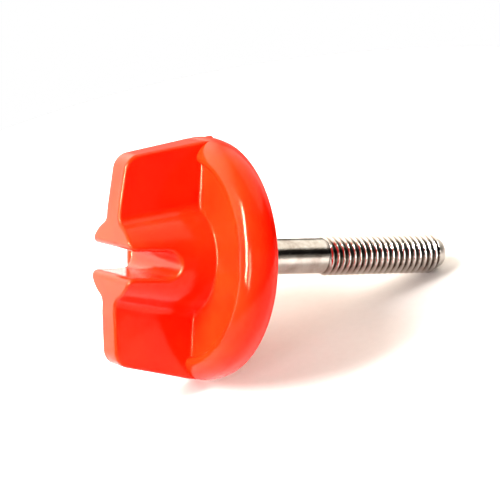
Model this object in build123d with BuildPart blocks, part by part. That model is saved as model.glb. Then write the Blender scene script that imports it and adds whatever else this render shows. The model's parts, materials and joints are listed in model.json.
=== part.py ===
from build123d import *
import math
import os

# Wing knob screw: a moulded plastic knob over the hexagon head of a partly threaded steel bolt.
# Millimetres. The bolt's axis is X. X = 0 is the seat face of the knob's flange, the bolt points
# along +X, the hand grip is on the -X side, and the two wings stand in the XZ plane, +Z up.

# --- flange ---
FLANGE_R = 17.5  # largest radius, at the rim's belly
FLANGE_BACK_R = 17.3  # radius of the rim just ahead of the seat face
SEAT_EDGE_R = 0.5  # rounding between the seat face and the rim
BELLY_X = -2.8  # where the rim is widest
CROWN_X = -5.2  # front of the rim's rounded ring
CROWN_R = 15.4
RING_STEP_X = -4.65  # top of the step between the ring and the recessed front face
RING_INNER_R = 14.1
FLOOR_X = -4.3  # recessed front face between hub and ring

# --- underside: a ring-shaped hollow that keeps the walls even, crossed by ribs ---
CORE_DEPTH = 2.0
CORE_INNER_R = 8.4
CORE_OUTER_R = 14.6
CORE_RIBS = 6
CORE_RIB_WIDTH = 1.6
CORE_ROUND = 0.4

# --- hub ---
FRONT_X = -17.3  # front plane of the hub
HUB_BASE_R = 7.9  # at the recessed front face
HUB_FRONT_R = 5.8
SLOT_WIDTH = 3.8  # cross slot through the hub, for a bar or a coin
SLOT_FLOOR_X = -9.6
SLOT_LIP_R = 1.1  # rounding of the slot's two lips

# --- wings ---
WING_ROOT_WIDTH = 4.8  # at the recessed front face
WING_FRONT_WIDTH = 3.7
WING_BASE_R = 0.4  # hollow fillet between a wing's sides and the recessed front face
WING_ROOT_Z = 17.2  # reach of a wing at the rim
WING_FRONT_Z = 14.9  # reach at the front, before the corner is rounded
WING_SETBACK = 0.8  # how far the front edge falls back from hub to tip
WING_BEND_Z = 7.3  # where the front edge starts to fall back
WING_BEND_R = 12.0
WING_CORNER_R = 2.6
HUB_BLEND_R = 1.5  # hollow blend between hub and wings
EDGE_R = 0.5  # rounding of every outer edge of hub and wings

# --- bolt: M6 x 1, 40 mm of it past the seat face ---
THREAD_MAJOR_R = 3.0
THREAD_ROOT_R = 2.39
THREAD_PITCH = 1.0
CREST_SHARE = 0.16  # of the pitch, at the crest
ROOT_SHARE = 0.14  # of the pitch, at the root
SHANK_R = 2.66  # the thread is rolled, so the plain shank has about its pitch diameter
THREAD_TURNS = 19
THREAD_START_X = 19.85
THREAD_END_X = THREAD_START_X + THREAD_TURNS * THREAD_PITCH
NOSE_R = 2.35  # start of the domed nose, inside the thread's root
BOLT_END_X = 40.8
NOSE_FLAT_R = 1.6
HEAD_ACROSS_FLATS = 10.0
HEAD_HEIGHT = 4.0
HEAD_FRONT_X = -7.9  # the head is buried between the slot's floor and the flange

os.makedirs("parts", exist_ok=True)

SIDE = Plane.XZ  # its local x is +X, its local y is +Z, and its normal is -Y


# ---------------------------------------------------------------- bolt
def thread_point(radius, angle):
    """A point of the thread's cross-section, in the section's own plane."""
    return radius * math.cos(angle), radius * math.sin(angle)


# cross-section of a single-start thread: crest arc, flank, root arc, flank
crest_angle = math.pi * CREST_SHARE
root_angle = math.pi * (1 - ROOT_SHARE)
FLANK_STEPS = 4
flank = []
for i in range(FLANK_STEPS + 1):
    share = i / FLANK_STEPS
    flank.append(
        (
            THREAD_MAJOR_R + (THREAD_ROOT_R - THREAD_MAJOR_R) * share,
            crest_angle + (root_angle - crest_angle) * share,
        )
    )
with BuildSketch(Plane.YZ.offset(THREAD_START_X)) as thread_section:
    with BuildLine():
        ThreePointArc(
            thread_point(THREAD_MAJOR_R, -crest_angle),
            thread_point(THREAD_MAJOR_R, 0),
            thread_point(THREAD_MAJOR_R, crest_angle),
        )
        Spline(*[thread_point(radius, angle) for radius, angle in flank])
        ThreePointArc(
            thread_point(THREAD_ROOT_R, root_angle),
            thread_point(THREAD_ROOT_R, math.pi),
            thread_point(THREAD_ROOT_R, -root_angle),
        )
        Spline(*[thread_point(radius, -angle) for radius, angle in reversed(flank)])
    make_face()

# turns of the thread, each twisted once in one pitch towards the nose, which makes it right-hand
thread_turns = []
for i in range(THREAD_TURNS):
    start = (THREAD_START_X + i * THREAD_PITCH, 0, 0)
    section = thread_section.sketch.face().moved(Location((i * THREAD_PITCH, 0, 0)))
    turn = Solid.extrude_linear_with_rotation(section, center=start, normal=(THREAD_PITCH, 0, 0), angle=360)
    thread_turns.append(turn)

with BuildPart() as bolt:
    add(thread_turns)
    # plain shank, from inside the head to the thread
    with BuildSketch(Plane.YZ.offset(HEAD_FRONT_X)) as shank_section:
        Circle(SHANK_R)
    extrude(amount=THREAD_START_X - HEAD_FRONT_X)
    # rounded nose
    with BuildSketch(Plane.XY) as nose_profile:
        with BuildLine():
            Line((THREAD_END_X, 0), (THREAD_END_X, NOSE_R))
            SagittaArc((THREAD_END_X, NOSE_R), (BOLT_END_X, NOSE_FLAT_R), -0.25)
            Polyline((BOLT_END_X, NOSE_FLAT_R), (BOLT_END_X, 0), (THREAD_END_X, 0))
        make_face()
    revolve(axis=Axis.X)
    # hexagon head, two of its corners on the Y axis
    with BuildSketch(Plane.YZ.offset(HEAD_FRONT_X)) as head_hexagon:
        RegularPolygon(HEAD_ACROSS_FLATS / 2, 6, major_radius=False)
    extrude(amount=HEAD_HEIGHT)

bolt.part.label = "bolt"
export_step(bolt.part, "parts/bolt.step")


# ---------------------------------------------------------------- grip: hub and wings
def tapered(at_floor, at_front, x):
    """A size that changes evenly from the recessed front face to the front plane, at station x."""
    return at_floor + (at_front - at_floor) * (FLOOR_X - x) / (FLOOR_X - FRONT_X)


GRIP_BACK_X = FLOOR_X + 1  # sunk into the flange
GRIP_TRIM_X = FRONT_X - 1.5  # trimmed back to the front outline below

with BuildPart() as grip:
    # wings, a wedge that thins towards the front
    with BuildSketch(Plane.XY) as wedge_section:
        back_half = tapered(WING_ROOT_WIDTH, WING_FRONT_WIDTH, GRIP_BACK_X) / 2
        trim_half = tapered(WING_ROOT_WIDTH, WING_FRONT_WIDTH, GRIP_TRIM_X) / 2
        with BuildLine():
            Polyline(
                (GRIP_BACK_X, back_half),
                (GRIP_TRIM_X, trim_half),
                (GRIP_TRIM_X, -trim_half),
                (GRIP_BACK_X, -back_half),
                close=True,
            )
        make_face()
    extrude(amount=FLANGE_R, both=True)
    # hub, a cone that narrows towards the front
    with BuildSketch(Plane.XY) as hub_profile:
        with BuildLine():
            Polyline(
                (GRIP_BACK_X, 0),
                (GRIP_BACK_X, tapered(HUB_BASE_R, HUB_FRONT_R, GRIP_BACK_X)),
                (GRIP_TRIM_X, tapered(HUB_BASE_R, HUB_FRONT_R, GRIP_TRIM_X)),
                (GRIP_TRIM_X, 0),
                close=True,
            )
        make_face()
    revolve(axis=Axis.X)
    fillet(grip.edges().filter_by(GeomType.HYPERBOLA), HUB_BLEND_R)
    # outline of the grip seen from the side
    with BuildSketch(SIDE) as grip_outline:
        with BuildLine():
            Polyline(
                (GRIP_BACK_X, 0),
                (GRIP_BACK_X, WING_ROOT_Z),
                (FLOOR_X, WING_ROOT_Z),
                (FRONT_X + WING_SETBACK, WING_FRONT_Z),
                (FRONT_X, WING_BEND_Z),
                (FRONT_X, 0),
                close=True,
            )
        make_face()
        corner = grip_outline.vertices().sort_by_distance((FRONT_X + WING_SETBACK, WING_FRONT_Z))[0]
        fillet(corner, WING_CORNER_R)
        bend = grip_outline.vertices().sort_by_distance((FRONT_X, WING_BEND_Z))[0]
        fillet(bend, WING_BEND_R)
        mirror(about=Plane.XZ)
    extrude(amount=FLANGE_R, both=True, mode=Mode.INTERSECT)
    # cross slot with a round floor and rounded lips
    with BuildSketch(SIDE) as slot_section:
        round_x = SLOT_FLOOR_X - SLOT_WIDTH / 2
        with Locations((round_x, 0)):
            Circle(SLOT_WIDTH / 2)
        with Locations(((round_x + GRIP_TRIM_X) / 2, 0)):
            Rectangle(round_x - GRIP_TRIM_X, SLOT_WIDTH)
    extrude(amount=FLANGE_R, both=True, mode=Mode.SUBTRACT)
    cross_edges = grip.edges().filter_by(Axis.Y)
    lips = [edge for edge in cross_edges.group_by(Axis.X)[0] if abs(edge.center().Z) < SLOT_WIDTH]
    fillet(lips, SLOT_LIP_R)
    # outer edges: all but those that run across, those of the blends and those inside the flange
    blend_edges = grip.edges().filter_by(GeomType.BSPLINE).filter_by(lambda edge: edge.length > 10)
    sunk_edges = grip.edges().filter_by_position(Axis.X, FLOOR_X + 0.1, GRIP_BACK_X + 1)
    outer_edges = grip.edges() - grip.edges().filter_by(Axis.Y) - blend_edges - sunk_edges
    fillet(outer_edges, EDGE_R)

# ---------------------------------------------------------------- knob
with BuildPart() as knob:
    # flange with its raised, rounded ring
    with BuildSketch(Plane.XY) as flange_profile:
        with BuildLine():
            Line((0, 0), (0, FLANGE_BACK_R - SEAT_EDGE_R))
            RadiusArc((0, FLANGE_BACK_R - SEAT_EDGE_R), (-SEAT_EDGE_R, FLANGE_BACK_R), -SEAT_EDGE_R)
            ThreePointArc((-SEAT_EDGE_R, FLANGE_BACK_R), (BELLY_X, FLANGE_R), (CROWN_X, CROWN_R))
            ThreePointArc(
                (CROWN_X, CROWN_R),
                (CROWN_X + 0.1, CROWN_R - 0.8),
                (RING_STEP_X, RING_INNER_R + 0.1),
            )
            Polyline((RING_STEP_X, RING_INNER_R + 0.1), (FLOOR_X, RING_INNER_R), (FLOOR_X, 0), (0, 0))
        make_face()
    revolve(axis=Axis.X)
    # hollow in the seat face, with ribs left standing
    with BuildSketch(Plane.YZ) as core_section:
        Circle(CORE_OUTER_R)
        Circle(CORE_INNER_R, mode=Mode.SUBTRACT)
        with PolarLocations((CORE_INNER_R + CORE_OUTER_R) / 2, CORE_RIBS, start_angle=30):
            Rectangle(CORE_OUTER_R, CORE_RIB_WIDTH, mode=Mode.SUBTRACT)
        fillet(core_section.vertices(), CORE_ROUND)
    extrude(amount=-CORE_DEPTH, mode=Mode.SUBTRACT)
    add(grip.part)
    # hollow fillets where the wings stand on the recessed face
    wing_roots = knob.edges().filter_by(Axis.Z).filter_by_position(Axis.X, FLOOR_X - 0.01, FLOOR_X + 0.01)
    fillet(wing_roots, WING_BASE_R)
    # the bolt's head and shank are moulded in
    add(bolt.part, mode=Mode.SUBTRACT)

knob.part.label = "knob"
export_step(knob.part, "parts/knob.step")
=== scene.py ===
import json
import math

import bpy
from mathutils import Matrix, Vector, noise


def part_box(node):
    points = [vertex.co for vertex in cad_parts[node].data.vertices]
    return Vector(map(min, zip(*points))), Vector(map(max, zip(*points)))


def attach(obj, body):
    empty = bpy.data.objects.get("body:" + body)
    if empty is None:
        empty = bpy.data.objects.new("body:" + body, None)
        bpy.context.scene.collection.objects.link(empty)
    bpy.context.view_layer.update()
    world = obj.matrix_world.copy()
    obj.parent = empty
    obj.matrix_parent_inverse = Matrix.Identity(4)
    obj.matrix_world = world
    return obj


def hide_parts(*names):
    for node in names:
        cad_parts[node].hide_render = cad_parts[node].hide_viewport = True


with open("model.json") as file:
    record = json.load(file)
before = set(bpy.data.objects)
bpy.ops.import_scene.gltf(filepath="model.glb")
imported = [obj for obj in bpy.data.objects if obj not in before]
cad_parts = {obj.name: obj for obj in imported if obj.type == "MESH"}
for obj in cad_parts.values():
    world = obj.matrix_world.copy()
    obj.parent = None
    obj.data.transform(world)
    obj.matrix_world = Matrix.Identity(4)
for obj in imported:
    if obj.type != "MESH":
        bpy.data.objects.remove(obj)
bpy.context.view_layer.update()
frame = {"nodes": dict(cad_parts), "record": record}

# A wing knob screw. The bolt's axis is X, the seat face is X = 0, the wings stand in the XZ plane.
MM = 0.001
PER_MM = 1000  # texture scale that counts in millimetres
KNOB_LOW, KNOB_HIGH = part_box("knob")
BOLT_LOW, BOLT_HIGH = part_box("bolt")
FLANGE_R = KNOB_HIGH[2]
NOSE_X = BOLT_HIGH[0]
THREAD_R = frame["record"]["mounts"][0]["dims"]["r_mm"] * MM


# Places and sizes of the bolt, along and round its axis.
PITCH = 1.0 * MM
THREAD_ROOT_R = 2.39 * MM
SHANK_R = 2.66 * MM
CREST_X = 19.85 * MM  # where the crest crosses the +Y side for the first time at full height
RUN_IN_START = 18.5 * MM
RUN_IN_END = 19.6 * MM
CHAMFER_START = 38.95 * MM
DOME_START = 39.4 * MM
DOME_START_R = 2.35 * MM
NOSE_R = 1.6 * MM
NOSE_FLAT_EDGE = 0.12 * MM
HEAD_FRONT = BOLT_LOW[0]
HEAD_BACK = HEAD_FRONT + 4.0 * MM
HEAD_FLATS = 10.0 * MM
HEAD_BEVEL = 0.4 * MM


# ---------------------------------------------------------------- small helpers
def smooth(value, low, high):
    """0 below low, 1 above high, and an even curve between them."""
    share = min(max((value - low) / (high - low), 0.0), 1.0)
    return share * share * (3 - 2 * share)


def make_object(name, vertices, faces, material=None):
    mesh = bpy.data.meshes.new(name)
    mesh.from_pydata(vertices, [], faces)
    mesh.validate()
    mesh.shade_smooth()
    made = bpy.data.objects.new(name, mesh)
    bpy.context.scene.collection.objects.link(made)
    if material:
        mesh.materials.append(material)
    return made


def feed(tree, socket, value):
    """Gives a socket a plain number, or links another node's output to it."""
    if isinstance(value, (int, float)):
        socket.default_value = value
    else:
        tree.links.new(value, socket)


class Shader:
    """A material's node tree, with short calls for the nodes that the materials below share."""

    def __init__(self, name):
        self.material = bpy.data.materials.new(name)
        self.material.use_nodes = True
        self.tree = self.material.node_tree
        self.principled = self.tree.nodes["Principled BSDF"]
        self.place = self.node("ShaderNodeTexCoord").outputs["Object"]

    def node(self, kind, **settings):
        made = self.tree.nodes.new(kind)
        for key, value in settings.items():
            setattr(made, key, value)
        return made

    def link(self, source, target):
        self.tree.links.new(source, target)

    def stretched(self, x, y, z):
        """The place on the surface, scaled by x, y and z."""
        mapping = self.node("ShaderNodeMapping")
        mapping.inputs["Scale"].default_value = (x, y, z)
        self.link(self.place, mapping.inputs["Vector"])
        return mapping.outputs["Vector"]

    def noise(self, vector, scale, detail=4.0, roughness=0.55, distortion=0.0):
        made = self.node("ShaderNodeTexNoise")
        made.inputs["Scale"].default_value = scale
        made.inputs["Detail"].default_value = detail
        made.inputs["Roughness"].default_value = roughness
        made.inputs["Distortion"].default_value = distortion
        self.link(vector, made.inputs["Vector"])
        return made.outputs["Fac"]

    def ramp(self, source, stops):
        """stops is a list of (position, colour or grey)."""
        made = self.node("ShaderNodeValToRGB")
        elements = made.color_ramp.elements
        while len(elements) < len(stops):
            elements.new(0.5)
        for element, (position, value) in zip(elements, stops):
            element.position = position
            colour = value if isinstance(value, tuple) else (value, value, value)
            element.color = (*colour, 1.0)
        self.link(source, made.inputs["Fac"])
        return made.outputs["Color"]

    def to_range(self, source, low, high, from_low=0.3, from_high=0.7):
        made = self.node("ShaderNodeMapRange")
        made.inputs["From Min"].default_value = from_low
        made.inputs["From Max"].default_value = from_high
        made.inputs["To Min"].default_value = low
        made.inputs["To Max"].default_value = high
        self.link(source, made.inputs["Value"])
        return made.outputs["Result"]

    def math(self, operation, first, second):
        made = self.node("ShaderNodeMath", operation=operation)
        for socket, value in zip(made.inputs, (first, second)):
            feed(self.tree, socket, value)
        return made.outputs["Value"]

    def bump(self, height, distance, strength=1.0, under=None):
        made = self.node("ShaderNodeBump")
        made.inputs["Strength"].default_value = strength
        made.inputs["Distance"].default_value = distance
        self.link(height, made.inputs["Height"])
        if under:
            self.link(under, made.inputs["Normal"])
        return made.outputs["Normal"]

    def set(self, **values):
        for name, value in values.items():
            self.principled.inputs[name.replace("_", " ")].default_value = value


# ---------------------------------------------------------------- materials
DEEP_RED = (0.84, 0.0045, 0.0005)
LIGHT_RED = (0.92, 0.009, 0.001)
DULL_STEEL = (0.36, 0.32, 0.29)
PLAIN_STEEL = (0.48, 0.45, 0.42)
BRIGHT_STEEL = (0.58, 0.56, 0.54)
# colour of the painted shade in the thread's grooves, which makes the grooves dark beside the bright crests
GROOVE_SHADE = (0.10, 0.065, 0.05, 1)
GROOVE_SHADE_START = 18.4 * MM  # the painted shade in the grooves fades in along the run-in, and out before the nose
GROOVE_SHADE_FULL = 19.2 * MM
GROOVE_SHADE_FADES = 39.0 * MM
GROOVE_SHADE_ENDS = 39.4 * MM
GROOVE_LOW_R = 2.48 * MM  # all painted groove shade below this radius, none above the next
GROOVE_HIGH_R = 2.86 * MM
MATTE_START = 39.2 * MM  # the nose is matte, as it was forged
MATTE_FULL = 39.6 * MM
DARK_PAPER = (0.74, 0.70, 0.68)
PALE_PAPER = (0.76, 0.72, 0.70)


def knob_plastic():
    """Gloss orange-red plastic, moulded: soft mottling, shallow waves and a faint mould grain."""
    s = Shader("knob_plastic")
    place = s.stretched(PER_MM, PER_MM, PER_MM)
    mottle = s.noise(place, 0.12, detail=3.0)
    s.link(s.ramp(mottle, [(0.3, DEEP_RED), (0.7, LIGHT_RED)]), s.principled.inputs["Base Color"])
    grain = s.noise(place, 1.6, detail=5.0)
    s.link(s.to_range(grain, 0.09, 0.15), s.principled.inputs["Roughness"])
    waves = s.bump(s.noise(place, 0.35, detail=2.0), 0.10 * MM, strength=0.5)
    s.link(s.bump(grain, 0.012 * MM, strength=0.6, under=waves), s.principled.inputs["Normal"])
    s.set(IOR=1.5, Subsurface_Weight=0.2, Subsurface_Scale=1.2 * MM, Specular_IOR_Level=0.3)
    s.principled.inputs["Specular Tint"].default_value = (1.0, 0.5, 0.3, 1.0)
    s.principled.inputs["Subsurface Radius"].default_value = (1.0, 0.25, 0.08)
    return s.material


def bolt_steel():
    """Zinc-plated steel: dull patches, drawing marks along the axis, small pits, painted shade in the
    thread's grooves.
    """
    s = Shader("bolt_steel")
    place = s.stretched(PER_MM, PER_MM, PER_MM)
    patches = s.noise(place, 0.45, detail=6.0, roughness=0.6)
    streaks = s.noise(s.stretched(120, 3000, 3000), 1.0, detail=4.0)
    pits = s.noise(place, 4.5, detail=3.0, roughness=0.7)
    clean = s.ramp(patches, [(0.3, DULL_STEEL), (0.5, PLAIN_STEEL), (0.7, BRIGHT_STEEL)])
    # distance from the axis, and place along it
    across = s.node("ShaderNodeVectorMath", operation="MULTIPLY")
    across.inputs[1].default_value = (0, 1, 1)
    s.link(s.place, across.inputs[0])
    radius = s.node("ShaderNodeVectorMath", operation="LENGTH")
    s.link(across.outputs["Vector"], radius.inputs[0])
    parts = s.node("ShaderNodeSeparateXYZ")
    s.link(s.place, parts.inputs["Vector"])
    along = parts.outputs["X"]
    # painted shade: the low ground of the thread is darkened brown-grey
    past_shank = s.to_range(along, 0.0, 1.0, from_low=GROOVE_SHADE_START, from_high=GROOVE_SHADE_FULL)
    before_nose = s.to_range(along, 1.0, 0.0, from_low=GROOVE_SHADE_FADES, from_high=GROOVE_SHADE_ENDS)
    low_ground = s.to_range(radius.outputs["Value"], 1.0, 0.0, from_low=GROOVE_LOW_R, from_high=GROOVE_HIGH_R)
    groove_shade_mask = s.math("MULTIPLY", low_ground, s.math("MULTIPLY", past_shank, before_nose))
    groove_shade_mix = s.node("ShaderNodeMix", data_type="RGBA")
    groove_shade_mix.inputs[7].default_value = GROOVE_SHADE
    s.link(clean, groove_shade_mix.inputs[6])
    s.link(groove_shade_mask, groove_shade_mix.inputs["Factor"])
    s.link(groove_shade_mix.outputs[2], s.principled.inputs["Base Color"])
    dull = s.math("ADD", s.to_range(patches, 0.05, 0.14), s.to_range(streaks, 0.0, 0.06))
    forged = s.to_range(along, 0.0, 0.3, from_low=MATTE_START, from_high=MATTE_FULL)
    s.link(s.math("ADD", dull, forged), s.principled.inputs["Roughness"])
    marks = s.bump(streaks, 0.02 * MM, strength=0.35)
    s.link(s.bump(pits, 0.03 * MM, strength=0.5, under=marks), s.principled.inputs["Normal"])
    s.set(Metallic=1.0)
    return s.material


def floor_white():
    """Plain white paper. From below it is seen through, so the underside views aren't blocked."""
    s = Shader("floor_white")
    fibre = s.noise(s.stretched(PER_MM, PER_MM, PER_MM), 0.8)
    s.link(s.ramp(fibre, [(0.3, DARK_PAPER), (0.7, PALE_PAPER)]), s.principled.inputs["Base Color"])
    s.set(Roughness=0.9, Specular_IOR_Level=0.1)
    clear = s.node("ShaderNodeBsdfTransparent")
    mix = s.node("ShaderNodeMixShader")
    s.link(s.node("ShaderNodeNewGeometry").outputs["Backfacing"], mix.inputs["Fac"])
    s.link(s.principled.outputs["BSDF"], mix.inputs[1])
    s.link(clear.outputs["BSDF"], mix.inputs[2])
    s.link(mix.outputs["Shader"], s.tree.nodes["Material Output"].inputs["Surface"])
    return s.material


PLASTIC = knob_plastic()
STEEL = bolt_steel()

# ---------------------------------------------------------------- bolt
RINGS_PER_PITCH = 24
SHANK_STEPS = 40
AROUND = 96
CREST_HALF = 0.05  # half the crest's flat, as a share of the pitch
FLANK_END = 0.44  # from the crest's middle to the end of the flank, as a share of the pitch
ROUNDED = 0.15  # share of the height that is rounded, at the crest and again at the root


def thread_height(phase):
    """0 at the root and 1 at the crest, for a place between two roots given as 0 to 1."""
    away = abs(phase - 0.5)  # 0 on the crest's middle line
    height = (FLANK_END - away) / (FLANK_END - CREST_HALF)
    if height >= 1 - ROUNDED:
        over = height - (1 - ROUNDED)
        return min(1 - ROUNDED + over * 0.9 - over * over * 1.2, 1.0)
    if height <= ROUNDED:
        return max(height + ROUNDED, 0.0) ** 2 / (4 * ROUNDED)
    return height


def bolt_radius(x, angle):
    """The bolt's radius at station x and at that angle round the axis, right-hand thread included."""
    if x < RUN_IN_START:
        return SHANK_R
    phase = ((x - CREST_X) / PITCH - angle / (2 * math.pi) + 0.5) % 1.0
    threaded = THREAD_ROOT_R + (THREAD_R - THREAD_ROOT_R) * thread_height(phase)
    radius = SHANK_R + (threaded - SHANK_R) * smooth(x, RUN_IN_START, RUN_IN_END)
    if x > CHAMFER_START:
        share = min((x - CHAMFER_START) / (DOME_START - CHAMFER_START), 1.0)
        radius = min(radius, THREAD_R + (DOME_START_R - THREAD_R) * share)
    if x > DOME_START:
        share = min((x - DOME_START) / (NOSE_X - DOME_START), 1.0)
        dome = NOSE_R + (DOME_START_R - NOSE_R) * math.sqrt(max(1 - share ** 2.2, 0.0))
        radius = min(radius, dome)
    return radius


def hexagon_radius(angle, flats):
    """The distance from the axis to a hexagon's side, with two corners on the Y axis."""
    sixth = math.pi / 3
    from_flat = (angle % sixth) - sixth / 2
    return flats / 2 / math.cos(from_flat)


def make_bolt():
    """One skin of rings: hexagon head, shank, helical thread and domed nose."""
    rings = []
    for x, flats in (
        (HEAD_FRONT, HEAD_FLATS - 2 * HEAD_BEVEL),
        (HEAD_FRONT + HEAD_BEVEL, HEAD_FLATS),
        (HEAD_BACK - HEAD_BEVEL, HEAD_FLATS),
        (HEAD_BACK, HEAD_FLATS - 2 * HEAD_BEVEL),
    ):
        rings.append((x, [hexagon_radius(2 * math.pi * j / AROUND, flats) for j in range(AROUND)]))
    stations = [HEAD_BACK + 1e-6]
    for i in range(1, SHANK_STEPS):
        stations.append(HEAD_BACK + (RUN_IN_START - HEAD_BACK) * i / SHANK_STEPS)
    step = PITCH / RINGS_PER_PITCH
    for i in range(int((NOSE_X - RUN_IN_START) / step) + 1):
        stations.append(RUN_IN_START + i * step)
    stations.append(NOSE_X)
    for x in stations:
        rings.append((x, [bolt_radius(x, 2 * math.pi * j / AROUND) for j in range(AROUND)]))
    rings.append((NOSE_X, [NOSE_R - NOSE_FLAT_EDGE] * AROUND))
    vertices = [(rings[0][0], 0, 0)]
    for x, radii in rings:
        for j, radius in enumerate(radii):
            angle = 2 * math.pi * j / AROUND
            vertices.append((x, radius * math.cos(angle), radius * math.sin(angle)))
    vertices.append((NOSE_X, 0, 0))
    faces = []
    for j in range(AROUND):
        after = (j + 1) % AROUND
        faces.append((0, 1 + after, 1 + j))
        for i in range(len(rings) - 1):
            low = 1 + i * AROUND
            high = low + AROUND
            faces.append((low + j, low + after, high + after, high + j))
        last = 1 + (len(rings) - 1) * AROUND
        faces.append((last + j, last + after, len(vertices) - 1))
    return make_object("bolt_threaded", vertices, faces, STEEL)


bolt = make_bolt()
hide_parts("bolt")
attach(bolt, "root")

# ---------------------------------------------------------------- knob
knob = frame["nodes"]["knob"]
knob.data.materials.clear()
knob.data.materials.append(PLASTIC)


def make_flash():
    """A short torn ridge on top of the rim, where the mould's gate was cut off."""
    length = 1.9 * MM
    width = 1.0 * MM
    height = 0.38 * MM
    sunk = 0.12 * MM
    middle_x = -1.9 * MM
    rim = FLANGE_R * 0.996  # just inside the rim's widest radius
    steps = 26
    rows = 12
    vertices = []
    for i in range(steps + 1):
        along = i / steps * 2 - 1
        for j in range(rows + 1):
            across = j / rows * 2 - 1
            rough = noise.noise(Vector((along * 2.3, across * 1.9, 4.7)))
            rise = max(1 - along ** 4, 0) * max(1 - across ** 2, 0) * (0.75 + 0.5 * rough)
            y = across * width / 2
            z = math.sqrt(rim * rim - y * y) + height * rise - sunk
            vertices.append((middle_x + along * length / 2, y, z))
    faces = []
    for i in range(steps):
        for j in range(rows):
            first = i * (rows + 1) + j
            faces.append((first, first + rows + 1, first + rows + 2, first + 1))
    return make_object("gate_mark", vertices, faces, PLASTIC)


flash = make_flash()
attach(flash, "root")

# ---------------------------------------------------------------- floor
# The screw lies on its rim and on the tip of its thread, rolled a little about its own axis.
ROLL = math.radians(11)
RIM_X = -2.8 * MM  # where the rim touches
TIP_X = 38.2 * MM  # where the thread touches
FLOOR_R = 0.10
FLOOR_SIDES = 128
SLOPE = math.asin((FLANGE_R - THREAD_R) / (TIP_X - RIM_X))
DOWN = Vector((0, math.sin(ROLL), -math.cos(ROLL)))
FLOOR_UP = Vector((-math.sin(SLOPE), 0, 0)) - DOWN * math.cos(SLOPE)
FLOOR_POINT = Vector((RIM_X, 0, 0)) - FLOOR_UP * FLANGE_R


def make_floor():
    """A round sheet of paper under the screw, centred below the screw's middle."""
    turn = FLOOR_UP.to_track_quat("Z", "Y").to_matrix()
    middle = Vector(((KNOB_LOW[0] + NOSE_X) / 2, 0, 0))
    centre = middle - FLOOR_UP * (middle - FLOOR_POINT).dot(FLOOR_UP)
    ring = []
    for i in range(FLOOR_SIDES):
        angle = 2 * math.pi * i / FLOOR_SIDES
        edge = Vector((FLOOR_R * math.cos(angle), FLOOR_R * math.sin(angle), 0))
        ring.append(tuple(centre + turn @ edge))
    return make_object("floor", ring, [tuple(range(FLOOR_SIDES))], floor_white())


floor = make_floor()


# ---------------------------------------------------------------- light
AIM = Vector(((KNOB_LOW[0] + NOSE_X) / 2 - 1.1 * MM, 6.45 * MM, 0.14 * MM))  # what camera and lights face
WORLD_LEVEL = 0.34
BRIGHT_LEVEL = 4.2
OVERHEAD_LEVEL = 1.6
BRIGHT_SIDE = (-0.55, 0.75, 0.30)  # behind the screw, on the left
OVERHEAD = (0.55, -0.05, 0.83)
FRONT = (0.35, -0.94, 0)
UP = (0, 0, 1)
OPENING_DARKNESS = 0.97
TENT_COLOUR = (1.0, 0.92, 0.80, 1)
LIGHT_DISTANCE = 0.60
KEY_SIDE = (-0.93, -0.02, 0.42)
GLINT_SIDE = (-0.92, -0.28, 0.24)
FILL_SIDE = (-0.80, -0.52, -0.06)
def make_world():
    """A white tent: brightest behind the screw on the left, with a dark opening in front."""
    world = bpy.data.worlds.new("tent")
    bpy.context.scene.world = world
    world.use_nodes = True
    tree = world.node_tree
    nodes = tree.nodes
    link = tree.links.new
    place = nodes.new("ShaderNodeTexCoord")

    def patch(direction, inner_degrees, outer_degrees, inner, outer):
        """A level that is inner within inner_degrees of a direction, and outer beyond outer_degrees."""
        dot = nodes.new("ShaderNodeVectorMath")
        dot.operation = "DOT_PRODUCT"
        dot.inputs[1].default_value = Vector(direction).normalized()
        link(place.outputs["Generated"], dot.inputs[0])
        level = nodes.new("ShaderNodeMapRange")
        level.interpolation_type = "SMOOTHSTEP"
        level.inputs["From Min"].default_value = math.cos(math.radians(outer_degrees))
        level.inputs["From Max"].default_value = math.cos(math.radians(inner_degrees))
        level.inputs["To Min"].default_value = outer
        level.inputs["To Max"].default_value = inner
        link(dot.outputs["Value"], level.inputs["Value"])
        return level.outputs["Result"]

    def combine(operation, first, second):
        made = nodes.new("ShaderNodeMath")
        made.operation = operation
        for socket, value in zip(made.inputs, (first, second)):
            feed(tree, socket, value)
        return made.outputs["Value"]

    bright = patch(BRIGHT_SIDE, 28, 65, BRIGHT_LEVEL, WORLD_LEVEL)
    overhead = patch(OVERHEAD, 30, 42, OVERHEAD_LEVEL, 0.0)
    above_band = patch(UP, 42, 50, 0.0, 1.0)
    below_band = patch(UP, 77, 80, 1.0, 0.0)
    front = patch(FRONT, 55, 85, 1.0, 0.0)
    band = combine("MULTIPLY", combine("MULTIPLY", above_band, below_band), front)
    opening = combine("SUBTRACT", 1.0, combine("MULTIPLY", band, OPENING_DARKNESS))
    level = combine("MULTIPLY", combine("ADD", bright, overhead), opening)
    background = nodes["Background"]
    link(level, background.inputs["Strength"])
    background.inputs["Color"].default_value = TENT_COLOUR
    white = nodes.new("ShaderNodeBackground")
    white.inputs["Color"].default_value = (1, 1, 1, 1)
    seen = nodes.new("ShaderNodeLightPath")
    mix = nodes.new("ShaderNodeMixShader")
    link(seen.outputs["Is Camera Ray"], mix.inputs["Fac"])
    link(background.outputs["Background"], mix.inputs[1])
    link(white.outputs["Background"], mix.inputs[2])
    link(mix.outputs["Shader"], nodes["World Output"].inputs["Surface"])


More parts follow.
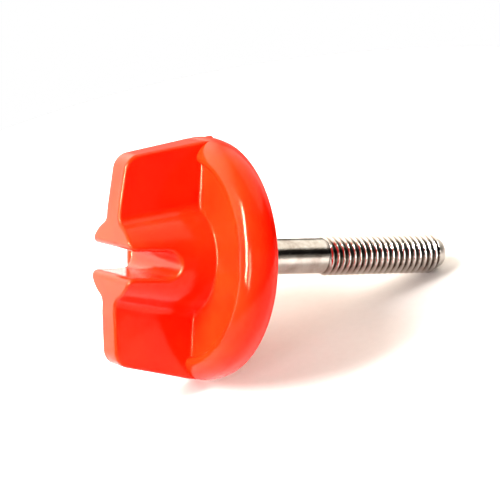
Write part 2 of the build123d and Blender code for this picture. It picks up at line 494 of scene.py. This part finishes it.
def softbox(name, direction, width, height, power, lights_only=None, mirrored=True, mirror_only=False):
    """A rectangular light that faces AIM, for some objects only, out of reflections or only in them."""
    light = bpy.data.lights.new(name, "AREA")
    light.shape = "RECTANGLE"
    light.size = width
    light.size_y = height
    light.energy = power
    lamp = bpy.data.objects.new(name, light)
    bpy.context.scene.collection.objects.link(lamp)
    away = Vector(direction).normalized()
    turn = away.to_track_quat("Z", "Y").to_matrix().to_4x4()
    lamp.matrix_world = Matrix.Translation(AIM + away * LIGHT_DISTANCE) @ turn
    lamp.visible_glossy = mirrored
    lamp.visible_diffuse = not mirror_only
    if lights_only:
        receivers = bpy.data.collections.new(name + "_receivers")
        for piece in lights_only:
            receivers.objects.link(piece)
        lamp.light_linking.receiver_collection = receivers


make_world()
softbox("key", KEY_SIDE, 0.20, 0.40, 44.0, [knob, bolt, flash], mirrored=False)
softbox("key_on_floor", KEY_SIDE, 0.20, 0.40, 10.0, [floor], mirrored=False)
softbox("glint", GLINT_SIDE, 0.04, 0.50, 14.0, mirror_only=True)
softbox("fill", FILL_SIDE, 0.10, 0.26, 2.4)
bpy.context.scene.view_settings.view_transform = "Standard"

# ---------------------------------------------------------------- camera
CAMERA_AZIMUTH = math.radians(-33.65)
CAMERA_ELEVATION = math.radians(6.78)
CAMERA_ROLL = math.radians(3.23)
CAMERA_DISTANCE = 445.2 * MM
CAMERA_LENS = 216
CAMERA_SENSOR = 36
CAMERA_CLIP = 0.01


def make_camera():
    """The camera faces AIM from its azimuth and elevation, rolled about its own view axis."""
    data = bpy.data.cameras.new("camera")
    data.lens = CAMERA_LENS
    data.sensor_width = CAMERA_SENSOR
    data.clip_start = CAMERA_CLIP
    camera = bpy.data.objects.new("camera", data)
    bpy.context.scene.collection.objects.link(camera)
    level_back = Vector((math.sin(CAMERA_AZIMUTH), -math.cos(CAMERA_AZIMUTH), 0))
    back = level_back * math.cos(CAMERA_ELEVATION) + Vector((0, 0, math.sin(CAMERA_ELEVATION)))
    level_right = Vector((math.cos(CAMERA_AZIMUTH), math.sin(CAMERA_AZIMUTH), 0))
    right = level_right * math.cos(CAMERA_ROLL) + back.cross(level_right) * math.sin(CAMERA_ROLL)
    up = back.cross(right)
    turn = Matrix((right, up, back)).transposed()
    camera.matrix_world = Matrix.Translation(AIM + back * CAMERA_DISTANCE) @ turn.to_4x4()
    bpy.context.scene.camera = camera


make_camera()
